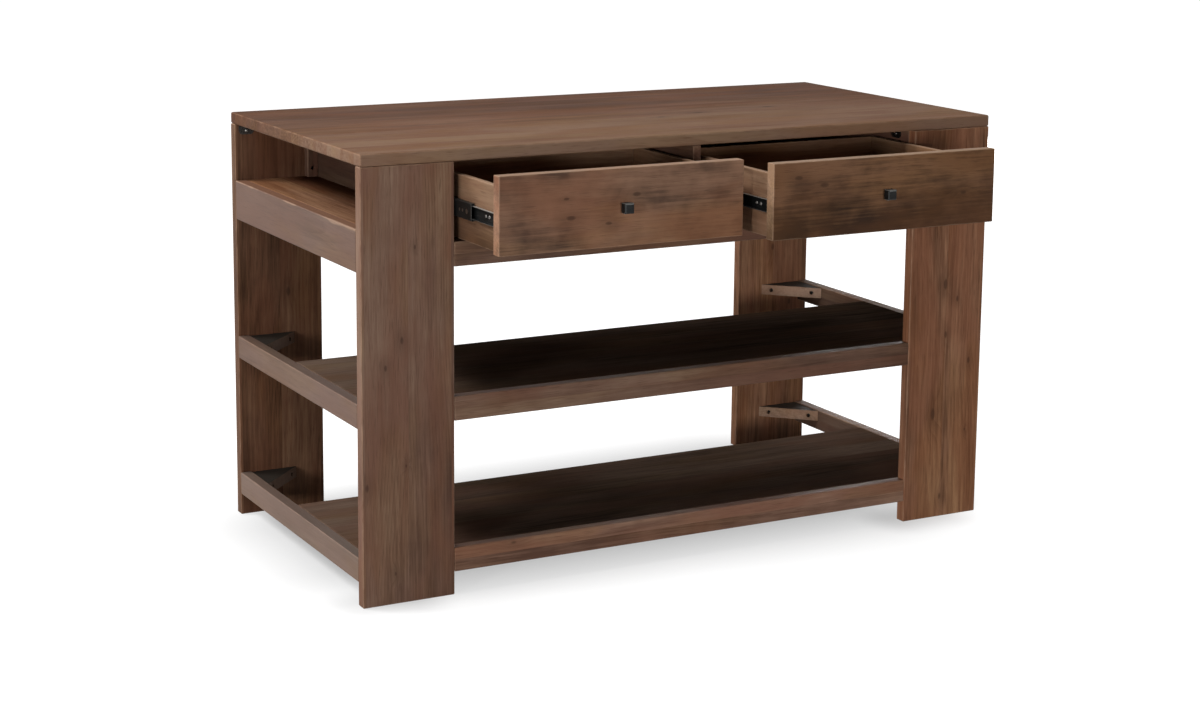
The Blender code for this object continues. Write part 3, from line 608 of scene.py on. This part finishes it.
# How single boards differ from the rest: see the options of wood. Many of their tints, fades, upper
# colours, edge gains and dark sides are painted light and shade.
TOUCHES = {
    # Painted sheen and light: the top gets lighter towards its front, and its front and back faces lighter
    "top_board": {"tint": 0.80, "fade": (0.0, -0.34), "end_light": 0.12, "edge_light": 0.16},
    "leg_front_left": {"tint": 0.98, "fade": (0.09, -0.04)},
    # Painted light and shade: lighter right legs, lighter narrow sides on the front right leg, darker ones
    # on the back left leg
    "leg_front_right": {"tint": 1.76, "fade": (-0.15, 0.03), "wear": 0.40, "edge_light": 0.45},
    "leg_back_left": {"tint": 0.92, "edge_light": -0.32},
    "leg_back_right": {"tint": 1.70, "fade": (0.06, 0.0)},
    # Painted shade: darker tops on the middle and lower left rails, and darker inner faces of the right
    # rails
    "end_rail_upper_left": {"tint": 0.84, "upper": (0.80, WARM_BROWN), "worn_side": -1, "wear": 0.0},
    "end_rail_upper_right": {"tint": 0.90, "upper": (0.80, WARM_BROWN), "worn_side": 1, "wear": 0.0},
    "end_rail_middle_left": {"tint": 0.86, "upper": (0.40, PAINTED_SHADE_BROWN), "wear": 0.12},
    "end_rail_middle_right": {"tint": 0.90, "dark_side": -1},
    "end_rail_lower_right": {"tint": 0.95, "dark_side": -1},
    "end_rail_lower_left": {"tint": 1.06, "upper": (0.45, PAINTED_SHADE_BROWN), "wear": 0.12},
    # Painted shade: a darker left case side, and cubby floors darker towards the inside
    "case_side_left": {"tint": 0.52},
    "cubby_floor_left": {"wear": 0.0, "fade": (0.04, -0.28)},
    "cubby_floor_right": {"wear": 0.0, "fade": (0.04, 0.28)},
    # Painted light and shade: darker front rail, middle shelf and middle lip, these two darker to the
    # right, and a lighter lower lip
    "front_rail": {"tint": 0.85},
    "shelf_lip_middle": {"tint": 0.93, "fade": (-0.16, 0.0), "wear": 0.08},
    "shelf_middle": {"tint": 0.85, "fade": (-0.20, 0.0), "wear": 0.0},
    "shelf_lower": {"wear": 0.0},
    "shelf_lip_lower": {"tint": 1.56, "fade": (0.08, 0.0), "wear": 0.08},
    # Painted highlight on the tops of the drawer fronts, and painted shade low on the left drawer's left
    # side
    "drawer_left_front": {"tint": 1.22, "fade": (0.05, 0.0), "upper": (0.55, WORN_AND_HIGHLIT_TAN), "end_light": 0.36},
    "drawer_left_side_left": {"tint": 0.80, "fade": (0.0, 0.34)},
    "drawer_left_back": {"tint": 1.40},
    "drawer_right_back": {"tint": 1.40},
    "drawer_right_front": {"tint": 1.06, "fade": (0.0, 0.26), "upper": (0.55, WORN_AND_HIGHLIT_TAN), "end_light": 0.68},
    # Painted shade: darker left corner blocks, and darker tops on all corner blocks
    "corner_block_lower_left": {"tint": 0.38, "upper": (0.95, PAINTED_SHADE_BROWN), "wear": 0.06},
    "corner_block_middle_left": {"tint": 0.38, "upper": (0.95, PAINTED_SHADE_BROWN), "wear": 0.06},
    "corner_block_lower_right": {"tint": 0.92, "upper": (0.94, PAINTED_SHADE_BROWN), "wear": 0.10},
    "corner_block_middle_right": {"tint": 0.92, "upper": (0.94, PAINTED_SHADE_BROWN), "wear": 0.10},
}

# How all the boards of one look differ from the rest: the drawer boxes get a painted highlight on faces
# that look up
LOOK_TOUCHES = {"box": {"upper": (0.40, WORN_AND_HIGHLIT_TAN)}}

# Blackened metal: colour of its worn edges and painted highlights, roughness, and wear of the edges, then
# the painted highlight on its topmost faces
KNOB_COATING = ((150, 150, 146), 0.42, 0.45)
SLIDE_COATING = ((170, 166, 160), 0.44, 0.30)
KNOB_PAINTED_HIGHLIGHT = 0.28
DRAWER_MEMBER_PAINTED_HIGHLIGHT = 0.85
OTHER_MEMBER_PAINTED_HIGHLIGHT = 0.06

# Heads of screws and rivets: radius, rise and depth of the cross recess
HEADS = {
    "block_screw": (0.0042, 0.0026, 0.0012),
    "cleat_screw": (0.0040, 0.0024, 0.0011),
    "bracket_screw": (0.0040, 0.0019, 0.0009),
    "drawer_screw": (0.0038, 0.0016, 0.0008),
    "cabinet_screw": (0.0038, 0.0004, 0.0002),  # low like the rivets, which pass it between two webs
    "end_screw": (0.0034, 0.0016, 0.0008),
    "large_rivet": (0.0052, 0.0003, 0.0),
    "small_rivet": (0.0032, 0.0003, 0.0),
    "knob_screw": (0.0046, 0.0026, 0.0013),
}
LIFT = 0.00015  # of a head, clear of the surface below
ENDS = (("left", -1), ("right", 1))  # each end's name and side of x


def wood_look(node):
    """Name of the wood that a node is made of, or None for metal."""
    if node.endswith("_knob") or node.startswith(("slide_", "top_bracket_")):
        return None
    if node.startswith("corner_block_"):
        return "block"
    return OWN_LOOKS.get(node, "box" if node.startswith("drawer_") else "frame")


def dress_nodes():
    """Gives each node its material, and each board a place of its own in the log."""
    first_seed, seed_step = 1.0, 0.618
    steel = plated_steel("bracket_steel")
    for index, node in enumerate(sorted(NODES)):
        name = wood_look(node)
        if name:
            touches = {**LOOK_TOUCHES.get(name, {}), **TOUCHES.get(node, {})}
            seed = first_seed + seed_step * index + LOTS.get(node, 0.0)
            material = wood(node, name, seed, KNOTS.get(node, ()), **touches)
        elif node.endswith("_knob"):
            material = coated_metal(node, *KNOB_COATING, KNOB_PAINTED_HIGHLIGHT)
        elif node.startswith("slide_"):
            shine = DRAWER_MEMBER_PAINTED_HIGHLIGHT if node.endswith("_drawer") else OTHER_MEMBER_PAINTED_HIGHLIGHT
            material = coated_metal(node, *SLIDE_COATING, shine)
        else:
            material = steel
        NODES[node].data.materials.clear()
        NODES[node].data.materials.append(material)


def new_object(name, data):
    """New object in the scene."""
    item = bpy.data.objects.new(name, data)
    bpy.context.scene.collection.objects.link(item)
    return item


def head_mesh(name, radius, rise, recess):
    """Round head standing on z 0: a rim, a domed top and, unless recess is 0, a cross recess."""
    sectors, sectors_per_arm = 24, 6
    arm_half = 1  # sectors to each side of an arm's middle
    sharp_angle = math.radians(38)
    # Share of the radius and of the rise, and what part of each ring is sunk
    rings = [
        (1.0, 0.0, "none"),
        (1.0, 0.35, "none"),
        (0.90, 0.72, "none"),
        (0.66, 0.94, "none"),
        (0.56, 0.97, "none"),
        (0.50, 0.97, "arms"),
        (0.16, 1.0, "all"),
    ]
    bm = bmesh.new()
    loops = []
    for share, level, sunk_part in rings:
        loop = []
        for sector in range(sectors):
            angle = 2 * math.pi * sector / sectors
            from_arm = min(sector % sectors_per_arm, sectors_per_arm - sector % sectors_per_arm)
            sunk = sunk_part == "all" or (sunk_part == "arms" and from_arm <= arm_half)
            x, y = radius * share * math.cos(angle), radius * share * math.sin(angle)
            loop.append(bm.verts.new((x, y, rise * level - (recess if sunk else 0.0))))
        loops.append(loop)
    for inner, outer in zip(loops[1:], loops):
        for i in range(sectors):
            j = (i + 1) % sectors
            bm.faces.new((outer[i], outer[j], inner[j], inner[i]))
    bm.faces.new(loops[-1])
    bm.faces.new(loops[0][::-1])
    bmesh.ops.recalc_face_normals(bm, faces=bm.faces)
    mesh = bpy.data.meshes.new(name)
    bm.to_mesh(mesh)
    bm.free()
    mesh.shade_smooth()
    mesh.set_sharp_from_angle(angle=sharp_angle)
    return mesh


def fastener(name, head, place, outward, body, material):
    """Screw or rivet head on a surface at place, facing outward."""
    piece = new_object(name, head_mesh(name, *HEADS[head]))
    turn = Vector((0, 0, 1)).rotation_difference(Vector(outward).normalized()).to_matrix().to_4x4()
    piece.matrix_world = Matrix.Translation(place) @ turn
    piece.data.materials.append(material)
    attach(piece, body)


def side_x(box, way):
    """Where a box ends along x, on its low or its high side."""
    low, high = box
    return high.x if way > 0 else low.x


def add_block_screws(steel):
    """Screws sunk in the slanting faces of the corner blocks."""
    hole_depth, hole_inset = 0.012, 0.025
    for side, sign in ENDS:
        for level in ("lower", "middle"):
            low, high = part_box(f"corner_block_{level}_{side}")
            corner = Vector((side_x((low, high), sign), high.y, (low.z + high.z) / 2))
            inward = Vector((-sign, -1, 0)).normalized()
            slant = (high.x - low.x) * math.sqrt(2)
            along = Vector((sign, -1, 0)).normalized() * (slant / 2 - hole_inset)
            for which, step in (("a", along), ("b", -along)):
                seat = corner + inward * (slant / 2 - hole_depth + LIFT) + step
                name = f"block_screw_{level}_{side}_{which}"
                fastener(name, "block_screw", seat, inward, "frame", steel)


def add_cleat_screws(steel):
    """Screws sunk in the cleats of the cubbies."""
    hole_depth, hole_inset = 0.010, 0.0205
    for side, _ in ENDS:
        low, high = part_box(f"cubby_cleat_{side}")
        for which, height in (("low", low.z + hole_inset), ("high", high.z - hole_inset)):
            seat = Vector(((low.x + high.x) / 2, low.y + hole_depth - LIFT, height))
            fastener(f"cleat_screw_{side}_{which}", "cleat_screw", seat, (0, -1, 0), "frame", steel)


def add_bracket_screws(steel):
    """Screws through both tabs of the bent brackets under the top."""
    sheet, wall_drop, top_reach = 0.002, 0.014, 0.011
    for side, sign in ENDS:
        for row in ("front", "back"):
            low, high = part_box(f"top_bracket_{row}_{side}")
            middle = (low + high) / 2
            if row == "back":
                outward, wall = Vector((0, -1, 0)), Vector((middle.x, high.y, high.z))
            else:
                outward, wall = Vector((-sign, 0, 0)), Vector((side_x((low, high), sign), middle.y, high.z))
            wall_seat = wall + outward * (sheet + LIFT) - Vector((0, 0, wall_drop))
            top_seat = wall + outward * top_reach - Vector((0, 0, sheet + LIFT))
            for which, seat, way in (("wall", wall_seat, outward), ("top", top_seat, Vector((0, 0, -1)))):
                name = f"bracket_screw_{row}_{side}_{which}"
                fastener(name, "bracket_screw", seat, way, "frame", steel)


def add_slide_heads(side, which, toward, bright, dark):
    """Screws in the webs of one slide, and rivets on the front of its middle member.

    Toward is the side of x on which the slide's drawer is.
    """
    web, holes, first_hole, hole_step = 0.0012, 3, 0.035, 0.140
    # Places from the front end of the drawer member, and from that of the middle member
    end_screws = (0.009, 0.050)
    rivets = ((0.020, "large_rivet"), (0.039, "small_rivet"), (0.053, "small_rivet"))
    slide = f"slide_{side}_{which}"
    members = {part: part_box(f"{slide}_{part}") for part in ("cabinet", "middle", "drawer")}
    faces = {
        "cabinet": side_x(members["cabinet"], -toward) + toward * (web + LIFT),
        "middle": side_x(members["middle"], -toward) - toward * LIFT,
        "drawer": side_x(members["drawer"], toward) - toward * (web + LIFT),
    }

    def seat(part, from_end):
        low, high = members[part]
        return Vector((faces[part], low.y + from_end, (low.z + high.z) / 2))

    back = Vector((-toward, 0, 0))
    drawer = f"{side}_drawer"
    for hole in range(holes):
        from_end = first_hole + hole_step * hole
        name = f"{slide}_drawer_screw_{hole}"
        fastener(name, "drawer_screw", seat("drawer", from_end), back, drawer, bright)
        name = f"{slide}_cabinet_screw_{hole}"
        fastener(name, "cabinet_screw", seat("cabinet", from_end), -back, "frame", dark)
    for number, from_end in enumerate(end_screws):
        name = f"{slide}_end_screw_{number}"
        fastener(name, "end_screw", seat("drawer", from_end), back, drawer, bright)
    for number, (from_end, head) in enumerate(rivets):
        name = f"{slide}_rivet_{number}"
        fastener(name, head, seat("middle", from_end), back, f"{side}_middle_members", bright)


def add_knob_screws(steel):
    """Screws that hold the knobs, inside the drawers."""
    for side, _ in ENDS:
        low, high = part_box(f"drawer_{side}_front")
        seat = Vector(((low.x + high.x) / 2, high.y + LIFT, (low.z + high.z) / 2))
        fastener(f"knob_screw_{side}", "knob_screw", seat, (0, 1, 0), f"{side}_drawer", steel)


def add_fasteners():
    """All the screws and rivets, each on the body that it is fixed to."""
    bright, dark = plated_steel("screw_steel"), plated_steel("dark_screw_steel")
    add_block_screws(dark)
    add_cleat_screws(dark)
    add_bracket_screws(bright)
    for side, sign in ENDS:
        for which, toward in (("outer", -sign), ("inner", sign)):
            add_slide_heads(side, which, toward, bright, dark)
    add_knob_screws(bright)


def shown_background(g):
    """1 for rays that see the background: from the camera, and in gloss and glass."""
    path = g.add("ShaderNodeLightPath").outputs
    seen = g.math("MAXIMUM", path["Is Camera Ray"], path["Is Glossy Ray"])
    return g.math("MAXIMUM", seen, path["Is Transmission Ray"])


def away_from(g, place, low, high):
    """How far a place on the floor is from a box, seen from above."""
    middle = ((low + high) / 2 * Vector((1, 1, 0))).to_tuple()
    half = ((high - low) / 2 * Vector((1, 1, 0))).to_tuple()
    beyond = g.vector("SUBTRACT", g.vector("ABSOLUTE", g.vector("SUBTRACT", place, middle)), half)
    return g.vector("LENGTH", g.vector("MAXIMUM", beyond, (0, 0, 0)))


def floor_paper():
    """White paper that glows less near the island: a painted shadow that adds to the real one and fades out
    a little beyond its outline.
    """
    lit_share, unevenness = 0.28, 0.005
    near_glow, far_glow, fade = 0.37, 1.0, 0.52
    painted_leg_shadow, painted_leg_shadow_reach, half_leg = 0.20, 0.11, 0.10  # darker floor round the outer half of a front leg
    inset_low, inset_high = Vector((0.17, 0.27, 0.0)), Vector((0.30, 0.19, 0.0))  # the fade starts inside
    g = Graph(bpy.data.materials.new("studio_floor"))
    place = g.add("ShaderNodeTexCoord").outputs["Object"]
    dark, light = ((level, level, level, 1.0) for level in (lit_share - unevenness, lit_share + unevenness))
    matt = g.add("ShaderNodeBsdfDiffuse", {"Color": g.mix(g.noise("paper", place), dark, light)})
    low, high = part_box("top_board")
    distance = away_from(g, place, low + inset_low, high - inset_high)
    glow_with_painted_shadow = g.spread(distance, 0.0, fade, near_glow, far_glow)
    # Painted shadow round the outer half of each front leg
    for leg in ("leg_front_left", "leg_front_right"):
        low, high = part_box(leg)
        distance = away_from(g, place, low, high - Vector((half_leg, 0.0, 0.0)))
        glow_with_painted_shadow = g.math("SUBTRACT", glow_with_painted_shadow, g.spread(distance, 0.0, painted_leg_shadow_reach, painted_leg_shadow, 0.0))
    shine = g.add("ShaderNodeEmission", {"Strength": g.math("MULTIPLY", shown_background(g), glow_with_painted_shadow)})
    both = g.add("ShaderNodeAddShader", {0: matt.outputs[0], 1: shine.outputs[0]})
    nodes = g.tree.nodes
    nodes.remove(nodes["Principled BSDF"])
    g.feed(nodes["Material Output"].inputs["Surface"], both.outputs[0])
    return g.owner


def add_floor():
    """Wide studio floor that takes the island's shadow."""
    reach, below = 30.0, 0.0005
    bm = bmesh.new()
    bmesh.ops.create_grid(bm, x_segments=4, y_segments=4, size=reach)
    mesh = bpy.data.meshes.new("studio_floor")
    bm.to_mesh(mesh)
    bm.free()
    mesh.materials.append(floor_paper())
    floor = new_object("studio_floor", mesh)
    floor.location.z = -below


def add_sky():
    """Background that is seen as white, and that lights the island as a faint sky."""
    sky_low, sky_high, seen = 0.0, 0.05, 1.0
    world = bpy.data.worlds.new("studio")
    bpy.context.scene.world = world
    g = Graph(world)
    height = g.split(g.add("ShaderNodeTexCoord").outputs["Generated"])[2]
    ranges = {"From Min": 0.0, "From Max": 1.0, "To Min": sky_low, "To Max": sky_high}
    lighting = g.add("ShaderNodeMapRange", {"Value": height, **ranges}).outputs[0]
    strength = g.add("ShaderNodeMix", {0: shown_background(g), 2: lighting, 3: seen}).outputs[0]
    background = g.tree.nodes["Background"].inputs
    g.feed(background["Strength"], strength)
    g.feed(background["Color"], (1.0, 1.0, 1.0, 1.0))


def softbox(name, place, target, size, level):
    """Rectangular area lamp that lights a white card at the target to the level, where 1 is white."""
    lamp = bpy.data.lights.new(name, "AREA")
    lamp.shape = "RECTANGLE"
    lamp.size, lamp.size_y = size
    way = target - place
    lamp.energy = level * math.pi**2 * way.length_squared
    holder = new_object(name, lamp)
    holder.location = place
    holder.rotation_euler = way.to_track_quat("-Z", "Y").to_euler()


def add_lamps():
    """Soft light from the left and the front, and low light from behind on the right."""
    # Name, azimuth from the front toward the left, elevation, width and height, and level of each lamp
    lamps = (
        ("lamp_left", 91, 45, (1.7, 1.7), 0.43),
        ("lamp_left_behind", 125, 40, (2.5, 2.5), 0.79),
        ("lamp_front", 10, 4, (2.2, 1.0), 0.36),
        ("lamp_front_left", 60, 4, (0.8, 0.8), 0.36),
        ("lamp_right", -90, 42, (2.5, 2.5), 0.12),
        ("lamp_right_behind", -135, -1, (2.2, 0.8), 0.36),
        ("lamp_above", 20, 88, (3.0, 3.0), 0.06),
    )
    middle, distance = Vector((0.0, 0.0, 0.6)), 7.0
    for name, azimuth, elevation, size, level in lamps:
        turn, lift = math.radians(azimuth), math.radians(elevation)
        way = Vector((-math.sin(turn) * math.cos(lift), -math.cos(turn) * math.cos(lift), math.sin(lift)))
        softbox(name, middle + distance * way, middle, size, level)


def add_camera():
    """Camera where the photograph was taken, with its lens axis off the picture's middle."""
    forward = Vector(
        (
            math.sin(CAMERA_YAW) * math.cos(CAMERA_PITCH),
            math.cos(CAMERA_YAW) * math.cos(CAMERA_PITCH),
            -math.sin(CAMERA_PITCH),
        )
    )
    level_right = Vector((math.cos(CAMERA_YAW), -math.sin(CAMERA_YAW), 0.0))
    level_up = level_right.cross(forward)
    right = level_right * math.cos(CAMERA_ROLL) + level_up * math.sin(CAMERA_ROLL)
    up = level_up * math.cos(CAMERA_ROLL) - level_right * math.sin(CAMERA_ROLL)
    data = bpy.data.cameras.new("photo_camera")
    data.sensor_width = SENSOR_WIDTH
    data.lens = FOCAL_PIXELS / PHOTO_WIDTH * SENSOR_WIDTH
    data.shift_x = (PHOTO_WIDTH / 2 - AXIS_PIXEL[0]) / PHOTO_WIDTH
    data.shift_y = (AXIS_PIXEL[1] - PHOTO_HEIGHT / 2) / PHOTO_WIDTH
    camera = new_object("photo_camera", data)
    turn = Matrix((right, up, -forward)).transposed().to_4x4()
    camera.matrix_world = Matrix.Translation(CAMERA_PLACE) @ turn
    bpy.context.scene.camera = camera


dress_nodes()
add_fasteners()
add_floor()
add_sky()
add_lamps()
add_camera()
bpy.context.scene.view_settings.view_transform = "Standard"
